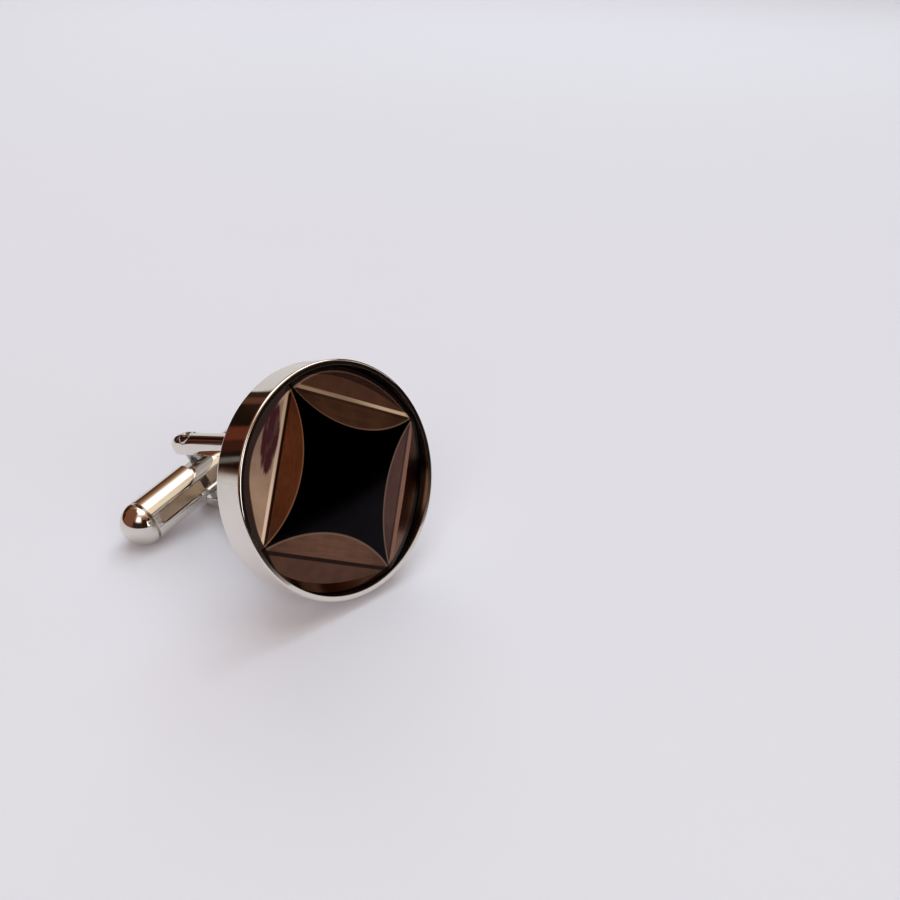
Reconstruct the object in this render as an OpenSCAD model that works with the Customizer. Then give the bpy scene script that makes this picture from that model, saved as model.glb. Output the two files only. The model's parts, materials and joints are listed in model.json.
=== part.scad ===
// Round cufflink with a faceted stone, a two-legged yoke and a swivelling bar toggle.
// Modelled as it rests on a table: on the rim of its cup, the tip of its lower leg and one end
// of its toggle. Each piece is drawn with the toggle along X, the face towards -Y and the
// swivel axis along Z, and stand() then leans and rolls it into the resting pose.

/* [Cup] */
// Outer diameter of the cup
cup_d = 17.0; // [15.5:0.25:18.5]
// Depth of the cup, from its back to the top of the lip
cup_depth = 2.9; // [2.6:0.1:3.4]
// Width of the lip, which is the thickness of the side wall
lip_w = 0.42; // [0.35:0.01:0.6]
// Thickness of the cup's floor
floor_t = 0.9; // [0.7:0.05:1.1]
// Rounding of the cup's back edge
back_round = 0.3; // [0.15:0.05:0.45]
// Rounding of the lip's outer edge
lip_round = 0.22; // [0.1:0.01:0.3]

/* [Stone] */
// Radius of the domed star in the middle of the stone
dome_r = 60; // [45:1:90]
// How far the star's four points lie below the lip
star_drop = 0.22; // [0.1:0.02:0.4]
// Where the inner facets begin, as a share of the stone's radius
inner_arc_share = 0.463; // [0.4:0.01:0.52]
// Slope of the outer facets
outer_facet_angle = 20; // [16:1:24]
// Width of the narrow bevel along the straight crease between each pair of facets
crease_w = 0.55; // [0.4:0.05:0.8]
// Gap around the stone
stone_gap = 0.03; // [0.01:0.01:0.06]
// Thickness of the adhesive layer
adhesive_t = 0.15; // [0.1:0.01:0.2]
// Thickness of the mirror foil
foil_t = 0.06; // [0.04:0.01:0.1]

/* [Yoke] */
// Distance from the back of the cup to the swivel axis
reach = 15.1; // [14:0.1:16]
// Clear gap between the two legs
leg_gap = 4.4; // [4.2:0.1:4.8]
// Width of a leg
leg_w = 1.9; // [1.7:0.05:2.1]
// Thickness of a leg at its crown
leg_t = 1.4; // [1.25:0.05:1.6]
// Length of a leg beyond the swivel axis
leg_overhang = 2.9; // [2.6:0.1:3.2]
// Radius that the leg's tip is drawn in with
tip_taper_r = 3.2; // [2.8:0.1:3.6]
// Radius of the leg's nose
tip_nose_r = 0.55; // [0.45:0.05:0.65]
// Diameter of the round foot
foot_d = 8.0; // [7:0.25:9]
// Thickness of the foot
foot_t = 1.1; // [0.9:0.05:1.3]
// Depth of the recess that locates the foot
foot_recess = 0.3; // [0.2:0.05:0.4]
// Width of the solder ring around the foot
solder_w = 0.25; // [0.2:0.05:0.4]
// Height of the web between the legs above the foot
web_h = 0.6; // [0.4:0.1:1]

/* [Toggle] */
// Diameter of the toggle
toggle_d = 3.6; // [3.4:0.05:3.8]
// Length of the toggle, over both domes
toggle_len = 17.6; // [16.5:0.1:18.5]
// Diameter of the core that shows at the neck
core_d = 3.1; // [2.9:0.05:3.2]
// Length of the neck between the shoulders
neck_len = 3.5; // [3.2:0.1:3.9]
// Height across the two flats that the washers rest on
neck_h = 2.9; // [2.7:0.05:2.95]
// Width of the spring slot
slot_w = 1.1; // [1:0.02:1.2]
// Depth of the spring slot below the toggle's surface
slot_depth = 0.4; // [0.36:0.02:0.44]
// Rounding where the neck runs into the slot
shoulder_round = 1.2; // [0.9:0.05:1.2]
// Depth of the groove behind each dome
groove_depth = 0.13; // [0.08:0.01:0.16]
// Width of the groove behind each dome
groove_w = 0.2; // [0.14:0.01:0.26]
// Diameter of the spigot that holds each dome
spigot_d = 2.2; // [2:0.05:2.3]
// Length of the spigot
spigot_len = 1.4; // [1.2:0.1:1.8]

/* [Pivot] */
// Diameter of the pivot pin
pin_d = 1.2; // [1.1:0.05:1.3]
// Diameter of the peened head at each end of the pin
head_d = 1.5; // [1.4:0.02:1.6]
// Depth of the peened head
head_t = 0.5; // [0.45:0.01:0.6]
// Height that the head stands proud of the leg
head_proud = 0.05; // [0.02:0.01:0.08]
// Radius of the punch mark in the head
punch_r = 0.42; // [0.3:0.02:0.5]
// Depth of the punch mark
punch_depth = 0.15; // [0.08:0.01:0.2]
// Outer diameter of the spacer washers
washer_d = 1.8; // [1.7:0.02:1.86]
// Width of the detent cam across its flats
cam_flats = 2.24; // [2.1:0.02:2.28]
// Diameter of the detent cam across its corners
cam_corners = 2.44; // [2.36:0.02:2.48]
// Height of the detent cam
cam_h = 0.88; // [0.8:0.02:0.9]
// Thickness of the leaf spring
spring_t = 0.2; // [0.14:0.01:0.22]
// Width of the leaf spring
spring_w = 0.9; // [0.8:0.02:0.96]
// Half length of the spring's straight middle
spring_mid = 1.0; // [0.8:0.05:1.1]
// Half length of the spring's middle with the ramps beside it
spring_ramp = 1.9; // [1.7:0.05:2.1]
// How far the spring's ends reach into the domes
spring_tuck = 0.3; // [0.2:0.02:0.4]

/* [Clearances] */
// Running fit of the pin in the toggle, radial
running_fit = 0.04; // [0.02:0.01:0.08]
// Fit of pressed and soldered pieces, radial
press_fit = 0.01; // [0:0.005:0.02]
// Play between the toggle and each washer
axial_play = 0.05; // [0.03:0.01:0.1]
// Clearance between the cam's corners and the spring
spring_clear = 0.02; // [0.01:0.01:0.05]

/* [Hidden] */
$fn = 96;

// One overrun for all cuts
over = 1.0;

// Cup and stone
cup_r = cup_d / 2;
inner_r = cup_r - lip_w;
stone_r = inner_r - stone_gap;
stone_base = floor_t + adhesive_t + foil_t;
star_h = cup_depth - star_drop;
dome_centre_h = star_h - sqrt(dome_r * dome_r - stone_r * stone_r);
// Distance of the straight crease between two neighbouring points of the star
crease_r = stone_r * cos(45);
arc_r = inner_arc_share * stone_r;
arc_rise = sqrt(dome_r * dome_r - arc_r * arc_r) - sqrt(dome_r * dome_r - stone_r * stone_r);
inner_facet_angle = atan(arc_rise / (crease_r - arc_r));
crease_angle = (inner_facet_angle + outer_facet_angle) / 2;
crease_cut = crease_w / 2 * tan((outer_facet_angle - inner_facet_angle) / 2);

// Yoke
leg_r = leg_w / 2;
leg_side = leg_t - leg_r;
leg_axis_z = leg_gap / 2 + leg_side;
foot_r = foot_d / 2;
foot_top = foot_t - foot_recess;
recess_r = foot_r + solder_w;
saddle_y = foot_top + web_h + leg_gap / 2;
// Where the taper of the tip starts, and where its nose is centred
nose_run = sqrt(pow(tip_taper_r - tip_nose_r, 2) - pow(tip_taper_r - leg_r, 2));
tip_y = reach + leg_overhang;
nose_y = tip_y - tip_nose_r;
taper_y = nose_y - nose_run;
taper_angle = asin(nose_run / (tip_taper_r - tip_nose_r));

// Toggle
toggle_r = toggle_d / 2;
core_r = core_d / 2;
dome_x = toggle_len / 2 - toggle_r;
joint_x = dome_x - groove_w;
// How far the spigot and the groove's ring run on into the solid dome
dome_bite = groove_w;
slot_floor_y = toggle_r - slot_depth;
cavity_r = cam_corners / 2 + running_fit;
cavity_h = cam_h + 2 * axial_play;
spring_mid_y = cam_corners / 2 + spring_clear;
spring_end_x = dome_x + spring_tuck;
washer_t = leg_gap / 2 - neck_h / 2 - axial_play;

// Pin
crown_z = leg_gap / 2 + leg_t;
pin_r = pin_d / 2;
head_r = head_d / 2;
head_top = crown_z + head_proud;
punch_ball_r = (punch_r * punch_r + punch_depth * punch_depth) / (2 * punch_depth);

// Resting pose. The face leans back by lean, and the cufflink rolls about the line through
// its face until the left dome touches the table.
function cup_height(a) = (cup_r - back_round) * cos(a) + back_round * (1 - sin(a));
function pivot_height(a) = cup_height(a) - reach * sin(a);
function roll_at(a) = asin(max(0, min(1, (pivot_height(a) - toggle_r) / (dome_x * cos(a)))));
function tip_height(a) = cup_height(a) - taper_y * sin(a) - leg_axis_z * cos(a) * cos(roll_at(a))
    - tip_taper_r + (tip_taper_r - leg_r) * cos(a);
// The lean at which the lower leg's tip just touches the table, found by halving
function rest_lean(low, high, rounds) =
    let (mid = (low + high) / 2)
    rounds == 0 ? mid
    : tip_height(mid) > 0 ? rest_lean(mid, high, rounds - 1) : rest_lean(low, mid, rounds - 1);
lean = rest_lean(0, 40, 40);
roll = roll_at(lean);
rest_z = cup_height(lean);
front_y = -(cup_depth - lip_round) * cos(lean) - (cup_r - lip_round) * sin(lean) - lip_round;
nose_tip_y = nose_y * cos(lean) + leg_axis_z * cos(roll) * sin(lean) + tip_nose_r;
rest_y = -(front_y + nose_tip_y) / 2;

module stand() {
    translate([0, rest_y, rest_z]) rotate([-lean, 0, 0]) rotate([0, -roll, 0]) children();
}

// Turns a shape drawn up Z so that it points at the face, from the cup's back
module towards_face() {
    rotate([90, 0, 0]) children();
}

// Turns a shape drawn up Z so that it lies along the toggle
module along_toggle() {
    rotate([0, 90, 0]) children();
}

// Half profile of a disc with both of its edges rounded
module disc_profile(r, h, low_round, high_round) {
    square([r - max(low_round, high_round), h]);
    translate([0, low_round]) square([r, h - low_round - high_round]);
    square([r - low_round, low_round]);
    translate([r - low_round, low_round]) circle(low_round);
    translate([0, h - high_round]) square([r - high_round, high_round]);
    translate([r - high_round, h - high_round]) circle(high_round);
}

module bezel_cup() {
    color("silver") stand() towards_face() difference() {
        rotate_extrude() disc_profile(cup_r, cup_depth, back_round, lip_round);
        translate([0, 0, floor_t]) cylinder(r = inner_r, h = cup_depth);
        translate([0, 0, -over]) cylinder(r = recess_r, h = over + foot_recess);
    }
}

module adhesive_layer() {
    color("ivory") stand() towards_face() translate([0, 0, floor_t])
        cylinder(r = stone_r - stone_gap, h = adhesive_t);
}

module mirror_foil() {
    color("gainsboro") stand() towards_face() translate([0, 0, floor_t + adhesive_t])
        cylinder(r = stone_r - stone_gap, h = foil_t);
}

// Everything above a plane that passes the crease at a given depth and falls away outwards
module above_facet(angle, depth = 0) {
    translate([crease_r, 0, star_h]) rotate([0, angle, 0])
        translate([-cup_d, -cup_r, -depth]) cube([2 * cup_d, cup_d, cup_d]);
}

module stone() {
    color([0.13, 0.11, 0.12]) stand() towards_face() difference() {
        rotate_extrude($fn = 360) intersection() {
            translate([0, dome_centre_h]) circle(dome_r, $fn = 720);
            translate([0, stone_base]) square([stone_r, cup_d]);
        }
        for (side = [0:3]) rotate([0, 0, 45 + 90 * side]) {
            above_facet(inner_facet_angle);
            above_facet(outer_facet_angle);
            above_facet(crease_angle, crease_cut);
        }
    }
}

module solder_ring() {
    color("darkgray") stand() towards_face() difference() {
        cylinder(r = recess_r - press_fit, h = foot_recess);
        translate([0, 0, -over]) cylinder(r = foot_r + press_fit, h = foot_recess + 2 * over);
    }
}

// Half of a leg's outline at the tip, drawn up Y from the start of the taper
module tip_outline() {
    intersection() {
        translate([leg_r - tip_taper_r, 0]) circle(tip_taper_r, $fn = 180);
        square([leg_r, tip_taper_r * sin(taper_angle)]);
    }
    intersection() {
        translate([0, nose_run]) circle(tip_nose_r);
        square([leg_r, nose_run + tip_nose_r]);
    }
}

// One leg, half round outside and flat inside, from the foot to the tip
module leg() {
    translate([0, 0, leg_axis_z]) {
        rotate([-90, 0, 0]) cylinder(r = leg_r, h = taper_y);
        translate([0, taper_y, 0]) rotate([-90, 0, 0]) rotate_extrude() tip_outline();
    }
    translate([-leg_r, 0, leg_gap / 2]) cube([leg_w, taper_y, leg_side]);
    translate([0, taper_y, leg_gap / 2]) for (side = [0, 1]) mirror([side, 0, 0])
        linear_extrude(leg_side) tip_outline();
}

module yoke() {
    color("silver") stand() difference() {
        union() {
            for (side = [0, 1]) mirror([0, 0, side]) intersection() {
                leg();
                translate([-leg_w, 0, leg_gap / 2]) cube([2 * leg_w, 2 * tip_y, 2 * leg_t]);
            }
            translate([0, foot_top, 0]) rotate([90, 0, 0]) cylinder(r = foot_r, h = foot_t);
            translate([-leg_r, 0, -leg_gap / 2]) cube([leg_w, saddle_y, leg_gap]);
        }
        translate([0, saddle_y, 0]) along_toggle()
            cylinder(r = leg_gap / 2, h = 2 * leg_w, center = true);
        translate([0, reach, 0]) {
            cylinder(r = pin_r + press_fit, h = 2 * crown_z + 2 * over, center = true);
            for (side = [0, 1]) mirror([0, 0, side])
                translate([0, 0, head_top - head_t]) cylinder(r = head_r + press_fit, h = over);
        }
    }
}

module pivot_pin() {
    color("lightgray") stand() translate([0, reach, 0]) difference() {
        union() {
            cylinder(r = pin_r, h = 2 * head_top - head_t, center = true);
            for (side = [0, 1]) mirror([0, 0, side]) intersection() {
                translate([0, 0, head_top - head_t]) cylinder(r = head_r, h = head_t);
                translate([0, 0, leg_axis_z]) rotate([90, 0, 0])
                    cylinder(r = leg_r + head_proud, h = head_d + over, center = true);
            }
        }
        for (side = [0, 1]) mirror([0, 0, side])
            translate([0, 0, head_top - punch_depth + punch_ball_r]) sphere(punch_ball_r);
    }
}

module detent_cam() {
    color("goldenrod") stand() translate([0, reach, 0]) difference() {
        intersection() {
            cube([cam_flats, cam_flats, cam_h], center = true);
            cylinder(r = cam_corners / 2, h = cam_h, center = true);
        }
        cylinder(r = pin_r + press_fit, h = cam_h + over, center = true);
    }
}

module washer(side) {
    color("dimgray") stand() translate([0, reach, 0]) mirror([0, 0, side])
        translate([0, 0, leg_gap / 2 - washer_t]) difference() {
            cylinder(r = washer_d / 2, h = washer_t);
            translate([0, 0, -over]) cylinder(r = pin_r + press_fit, h = washer_t + 2 * over);
        }
}

module upper_washer() {
    washer(0);
}

module lower_washer() {
    washer(1);
}

// Outline of the skin that is cut away on the side that faces the cup, seen from there
module skin_cut() {
    square([neck_len, toggle_d], center = true);
    square([2 * joint_x + over, slot_w], center = true);
    for (x_side = [0, 1]) mirror([x_side, 0]) for (z_side = [0, 1]) mirror([0, z_side])
        translate([neck_len / 2, slot_w / 2]) difference() {
            square(shoulder_round);
            translate([shoulder_round, shoulder_round]) circle(shoulder_round);
        }
}

module toggle_body() {
    color("silver") stand() translate([0, reach, 0]) difference() {
        along_toggle() cylinder(r = toggle_r, h = 2 * joint_x, center = true);
        // Neck, slot and shoulders, down to the core
        difference() {
            union() {
                cube([neck_len, 2 * toggle_d, 2 * toggle_d], center = true);
                rotate([90, 0, 0]) linear_extrude(toggle_d) skin_cut();
            }
            along_toggle() cylinder(r = core_r, h = toggle_len, center = true);
        }
        // Flat floor of the spring slot
        translate([-toggle_len / 2, -slot_floor_y - toggle_d, -slot_w / 2])
            cube([toggle_len, toggle_d, slot_w]);
        // Seats of the washers
        for (side = [0, 1]) mirror([0, 0, side]) translate([-neck_len / 2, -toggle_d, neck_h / 2])
            cube([neck_len, 2 * toggle_d, toggle_d]);
        // Bore of the pin, the pocket that the cam goes in by and the spring's window
        cylinder(r = pin_r + running_fit, h = 2 * toggle_d, center = true);
        cylinder(r = cavity_r, h = cavity_h, center = true);
        translate([-cavity_r, -toggle_d, -cavity_h / 2]) cube([2 * cavity_r, toggle_d, cavity_h]);
        translate([-spring_ramp, -toggle_d, -slot_w / 2])
            cube([2 * spring_ramp, toggle_d - cam_flats / 2, slot_w]);
        // Bores of the domes' spigots
        for (side = [0, 1]) mirror([side, 0, 0])
            translate([joint_x - spigot_len - press_fit, 0, 0]) along_toggle()
                cylinder(r = spigot_d / 2 + press_fit, h = spigot_len + over);
    }
}

// One dome of the toggle, with the ring of the groove behind it and its spigot
module toggle_dome(side) {
    color("silver") stand() translate([0, reach, 0]) mirror([side, 0, 0]) difference() {
        along_toggle() union() {
            translate([0, 0, dome_x]) rotate_extrude() intersection() {
                circle(toggle_r);
                square(toggle_r);
            }
            translate([0, 0, joint_x])
                cylinder(r = toggle_r - groove_depth, h = groove_w + dome_bite);
            translate([0, 0, joint_x - spigot_len])
                cylinder(r = spigot_d / 2, h = spigot_len + groove_w + dome_bite);
        }
        // The slot runs on through the groove, and the spring's end sits in a pocket of the dome
        translate([joint_x - over, -toggle_d, -slot_w / 2])
            cube([over + groove_w, toggle_d - slot_floor_y + press_fit, slot_w]);
        translate([dome_x - over, -slot_floor_y - spring_t - press_fit, -slot_w / 2])
            cube([over + spring_tuck + press_fit, spring_t + 2 * press_fit, slot_w]);
    }
}

module left_dome() {
    toggle_dome(1);
}

module right_dome() {
    toggle_dome(0);
}

module leaf_spring() {
    color("gold") stand() translate([0, reach, 0]) mirror([0, 1, 0])
        linear_extrude(spring_w, center = true) polygon([
            [-spring_end_x, slot_floor_y], [-spring_ramp, slot_floor_y],
            [-spring_mid, spring_mid_y], [spring_mid, spring_mid_y],
            [spring_ramp, slot_floor_y], [spring_end_x, slot_floor_y],
            [spring_end_x, slot_floor_y + spring_t], [spring_ramp, slot_floor_y + spring_t],
            [spring_mid, spring_mid_y + spring_t], [-spring_mid, spring_mid_y + spring_t],
            [-spring_ramp, slot_floor_y + spring_t], [-spring_end_x, slot_floor_y + spring_t]
        ]);
}

bezel_cup();
adhesive_layer();
mirror_foil();
stone();
solder_ring();
yoke();
pivot_pin();
detent_cam();
upper_washer();
lower_washer();
toggle_body();
left_dome();
right_dome();
leaf_spring();
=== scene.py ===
"""Dresses the packed cufflink with finely made pieces, their finishes, a studio and a camera.

Every piece is modelled in millimetres, in the cufflink's own axes: X along the toggle, Y from the
back of the cup towards the toggle and Z along the swivel axis. It is then brought to its place in
the frame, on the body that it moves with.
"""
import json
import math
from typing import NamedTuple

import bmesh
import bpy
from bpy.props import FloatProperty, FloatVectorProperty, IntProperty, PointerProperty
from mathutils import Matrix, Vector


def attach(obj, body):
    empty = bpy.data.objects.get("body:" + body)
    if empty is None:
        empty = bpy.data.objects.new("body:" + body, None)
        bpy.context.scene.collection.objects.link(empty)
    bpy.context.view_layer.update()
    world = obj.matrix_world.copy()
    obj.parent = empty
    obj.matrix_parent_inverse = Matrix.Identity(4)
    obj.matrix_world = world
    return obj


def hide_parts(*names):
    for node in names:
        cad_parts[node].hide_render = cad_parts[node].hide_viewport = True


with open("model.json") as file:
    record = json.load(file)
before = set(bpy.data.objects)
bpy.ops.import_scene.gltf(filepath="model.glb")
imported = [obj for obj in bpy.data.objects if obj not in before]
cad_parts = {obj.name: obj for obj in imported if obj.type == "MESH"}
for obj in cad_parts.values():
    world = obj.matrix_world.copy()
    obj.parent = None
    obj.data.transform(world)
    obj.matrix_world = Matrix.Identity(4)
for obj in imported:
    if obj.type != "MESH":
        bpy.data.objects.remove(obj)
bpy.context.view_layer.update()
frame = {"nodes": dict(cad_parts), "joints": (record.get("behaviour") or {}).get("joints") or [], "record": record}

bl_info = {
    "name": "Swivel Bar Cufflink",
    "version": (1, 0, 0),
    "blender": (4, 5, 0),
    "location": "View3D > Sidebar > Cufflink",
    "description": "Builds the dressed pieces, finishes and studio of a swivel bar cufflink",
    "category": "Add Mesh",
}

MM = 0.001
POST = "post"
TOGGLE = "toggle"


def own_axes():
    """The cufflink's own axes and the centre of its cup's back, read from its joint and its seat."""
    joint = frame["joints"][0]
    seat = next(m for m in frame["record"]["mounts"] if m["name"] == "cuff_seat")
    swivel = Vector(joint["axis"]).normalized()
    away = Vector(seat["axis"]).normalized()
    across = away.cross(swivel).normalized()
    pivot = Vector(joint["pos_m"])
    reach = (pivot - Vector(seat["pos_m"])).dot(away)
    turn = Matrix((across, away, swivel)).transposed().to_4x4()
    return Matrix.Translation(pivot - away * reach) @ turn, reach


STANCE, REACH = own_axes()


def span(node, axis):
    """The lowest and highest place of a CAD node along one of the cufflink's own axes, in metres."""
    to_own = STANCE.inverted()
    places = [(to_own @ v.co)[axis] for v in frame["nodes"][node].data.vertices]
    return min(places), max(places)


def width(node, axis):
    """The size of a CAD node along one of the cufflink's own axes, in metres."""
    low, high = span(node, axis)
    return high - low


def length(name, description, default, high=0.1):
    """A property that holds a length, in metres."""
    return FloatProperty(name=name, description=description, default=default, min=0.0, max=high,
                         precision=5, subtype="DISTANCE", unit="LENGTH")


def tint(name, description, default):
    """A property that holds a colour."""
    return FloatVectorProperty(name=name, description=description, default=default, size=3,
                               min=0.0, max=1.0, subtype="COLOR")


def share(name, description, default):
    """A property that holds a share of something."""
    return FloatProperty(name=name, description=description, default=default, min=0.0, max=1.0,
                         precision=4)


class CupSizes(bpy.types.PropertyGroup):
    """Sizes of the cup and of its solder ring."""
    diameter: length("Diameter", "Outer diameter of the cup", width("bezel_cup", 0))
    depth: length("Depth", "Depth from the back to the lip", width("bezel_cup", 1))
    lip: length("Lip", "Width of the lip", 0.42 * MM)
    floor: length("Floor", "Thickness of the floor", 0.9 * MM)
    back_round: length("Back rounding", "Rounding of the back edge", 0.3 * MM)
    lip_round: length("Lip rounding", "Rounding of the lip's outer edge", 0.17 * MM)
    inner_round: length("Inner rounding", "Rounding of the lip's inner edge", 0.04 * MM)
    recess: length("Recess", "Depth of the recess for the foot", 0.3 * MM)
    solder: length("Solder", "Width of the solder ring", 0.25 * MM)
    solder_climb: length("Solder climb", "Height that the solder climbs up the foot", 0.16 * MM)


class StoneSizes(bpy.types.PropertyGroup):
    """Sizes of the faceted stone."""
    diameter: length("Diameter", "Diameter of the stone", width("stone", 0))
    base: length("Base", "Height of the stone's underside above the cup's back", -span("stone", 1)[1])
    star_height: length("Star height", "Height of the star's points above the cup's back", 2.68 * MM)
    dome: length("Dome", "Radius of the domed star", 60.0 * MM)
    arc_share: share("Arc share", "Where the inner facets begin, as a share of the radius", 0.463)
    outer_angle: FloatProperty(name="Outer slope", description="Slope of the outer facets",
                               default=math.radians(20.0), subtype="ANGLE", unit="ROTATION")
    crease: length("Crease", "Width of the bevel between two facets", 0.36 * MM)
    polish: length("Polish", "Depth that polishing takes off an edge", 0.004 * MM)
    # The dark rim is partly an edge with no foil behind the glass and partly painted shade of the gap under the
    # lip
    rim: length("Rim", "Width of the dark rim where no foil lies behind the glass", 0.40 * MM)
    rings: IntProperty(name="Rings", description="Rings of faces over the stone", default=110)
    spokes: IntProperty(name="Spokes", description="Faces round the stone", default=480)


class YokeSizes(bpy.types.PropertyGroup):
    """Sizes of the two-legged yoke."""
    gap: length("Gap", "Clear gap between the legs", 4.4 * MM)
    leg_width: length("Leg width", "Width of a leg", 1.9 * MM)
    leg_thickness: length("Leg thickness", "Thickness of a leg at its crown", 1.4 * MM)
    overhang: length("Overhang", "Length of a leg beyond the swivel axis", 2.9 * MM)
    taper: length("Taper", "Radius that the tip is drawn in with", 3.2 * MM)
    nose: length("Nose", "Radius of the nose", 0.55 * MM)
    foot: length("Foot", "Diameter of the foot", 8.0 * MM)
    foot_thickness: length("Foot thickness", "Thickness of the foot", 1.1 * MM)
    web: length("Web", "Height of the web between the legs", 0.6 * MM)
    flare: length("Flare", "Radius of the fillet at the foot", 0.3 * MM)
    edge: length("Edge", "Rounding of the edges", 0.09 * MM)


class ToggleSizes(bpy.types.PropertyGroup):
    """Sizes of the swivelling bar, its domes and its leaf spring."""
    diameter: length("Diameter", "Diameter of the bar", width("right_dome", 2))
    length: length("Length", "Length over both domes", span("right_dome", 0)[1] * 2)
    core: length("Core", "Diameter of the core at the neck", 3.1 * MM)
    neck: length("Neck", "Length of the neck", 3.5 * MM)
    neck_height: length("Neck height", "Height across the flats", 2.9 * MM)
    slot: length("Slot", "Width of the spring's slot", 1.1 * MM)
    slot_depth: length("Slot depth", "Depth of the slot below the surface", 0.4 * MM)
    shoulder: length("Shoulder", "Rounding where the neck runs into the slot", 1.2 * MM)
    groove: length("Groove", "Width of the groove behind each dome", 0.2 * MM)
    groove_depth: length("Groove depth", "Depth of that groove", 0.13 * MM)
    spigot: length("Spigot", "Diameter of the dome's spigot", 2.2 * MM)
    spigot_length: length("Spigot length", "Length of the dome's spigot", 1.4 * MM)
    spring: length("Spring", "Thickness of the leaf spring", 0.2 * MM)
    spring_width: length("Spring width", "Width of the leaf spring", 0.9 * MM)
    spring_middle: length("Spring middle", "Half length of the raised middle", 1.0 * MM)
    spring_ramp: length("Spring ramp", "Half length with the ramps", 1.9 * MM)
    spring_lift: length("Spring lift", "Distance of the middle from the swivel axis", 1.24 * MM)
    slot_land: length("Slot land", "Metal left between the slot and the dome", 0.35 * MM)
    spring_gap: length("Spring gap", "Gap between the spring's end and the slot's", 0.30 * MM)
    edge: length("Edge", "Rounding of the edges", 0.06 * MM)


class PivotSizes(bpy.types.PropertyGroup):
    """Sizes of the pin, its washers and the pocket round the cam."""
    pin: length("Pin", "Diameter of the pin", 1.2 * MM)
    head: length("Head", "Diameter of a peened head", 1.5 * MM)
    head_depth: length("Head depth", "Depth of a peened head", 0.5 * MM)
    head_proud: length("Head proud", "Height of the head above the leg", 0.05 * MM)
    punch: length("Punch", "Radius of the punch mark", 0.42 * MM)
    punch_depth: length("Punch depth", "Depth of the punch mark", 0.15 * MM)
    washer: length("Washer", "Diameter of a washer", width("upper_washer", 0))
    pocket: length("Pocket", "Diameter of the cam's pocket", 2.52 * MM)
    pocket_height: length("Pocket height", "Height of the cam's pocket", 0.98 * MM)
    fit: length("Fit", "Radial fit of the pin and heads in the yoke", 0.01 * MM)
    play: length("Play", "Radial play of the pin in the bar", 0.04 * MM)
    edge: length("Edge", "Rounding of the edges", 0.05 * MM)


class Finishes(bpy.types.PropertyGroup):
    """Colours of the finishes, among them painted reflections, highlights and shade on the stone and the cup."""
    plating: tint("Plating", "Bright plating of cup, yoke and bar", (0.79, 0.745, 0.68))
    star: tint("Star", "Smoke glass of the star, which is nearly black", (0.0050, 0.0042, 0.0056))
    # Painted highlight on the polished edges of the facets and along the rim of the top lens
    edge_highlight: tint("Cut edge", "Polished edges of the facets", (0.20, 0.125, 0.085))
    # Painted reflections in the left lens: a dark streak and a darker upper half of its outer facet
    streak_reflection: tint("Vein", "Dark vein in one facet", (0.013, 0.0022, 0.0028))
    dim_reflection: tint("Cloudy", "Dusky upper half of that facet", (0.050, 0.029, 0.022))
    # Dark rim: partly an edge with no foil behind the glass and partly painted shade of the gap under the lip
    rim: tint("Rim", "Dark rim of the stone, where no foil lies behind it", (0.0085, 0.0038, 0.0028))
    # Painted shade on the wall inside the lip
    recess: tint("Recess", "Unpolished wall inside the lip", (0.035, 0.022, 0.016))
    foil: tint("Foil", "Mirror foil", (0.72, 0.70, 0.68))
    adhesive: tint("Adhesive", "Adhesive layer", (0.82, 0.80, 0.72))
    solder: tint("Solder", "Solder", (0.60, 0.59, 0.57))
    pin: tint("Pin", "Steel of the pin", (0.70, 0.69, 0.68))
    cam: tint("Cam", "Brass of the cam", (0.78, 0.62, 0.32))
    washer: tint("Washer", "Steel of the washers", (0.42, 0.41, 0.40))
    spring: tint("Spring", "Steel of the leaf spring", (0.60, 0.455, 0.33))


class StudioSizes(bpy.types.PropertyGroup):
    """Places of the camera and colours of the studio."""
    camera: FloatVectorProperty(
        name="Camera", description="Place of the camera from the centre of the cup's back",
        default=(-42.274 * MM, -53.817 * MM, 34.221 * MM), subtype="TRANSLATION", unit="LENGTH")
    bearing: FloatProperty(name="Bearing", description="Heading of the view, from +Y towards +X",
                           default=math.radians(46.08), subtype="ANGLE", unit="ROTATION")
    pitch: FloatProperty(name="Pitch", description="Angle that the view looks down by",
                         default=math.radians(25.23), subtype="ANGLE", unit="ROTATION")
    lens: FloatProperty(name="Lens", description="Focal length for a 36 mm film", default=42.208,
                        subtype="DISTANCE_CAMERA", unit="CAMERA")
    floor: length("Floor", "Radius of the table", 2.5, high=5.0)
    paper: length("Paper", "Radius of the sheet of paper under the cufflink", 0.065)
    floor_colour: tint("Floor colour", "Colour of the table and of the paper", (0.765, 0.815, 0.895))
    backdrop: tint("Backdrop", "Colour that is seen beyond the table", (0.74, 0.74, 0.78))


GROUPS = {
    "cuff_cup": CupSizes,
    "cuff_stone": StoneSizes,
    "cuff_yoke": YokeSizes,
    "cuff_toggle": ToggleSizes,
    "cuff_pivot": PivotSizes,
    "cuff_finish": Finishes,
    "cuff_studio": StudioSizes,
}


def settings_of(group):
    """One of the scene's groups of sizes or colours."""
    return getattr(bpy.context.scene, group)


class Millimetres:
    """Reads the lengths of a group of sizes in millimetres."""

    def __init__(self, group):
        self.group = settings_of(group)

    def __getattr__(self, name):
        return getattr(self.group, name) / MM


# Wiring of the finishes

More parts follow.
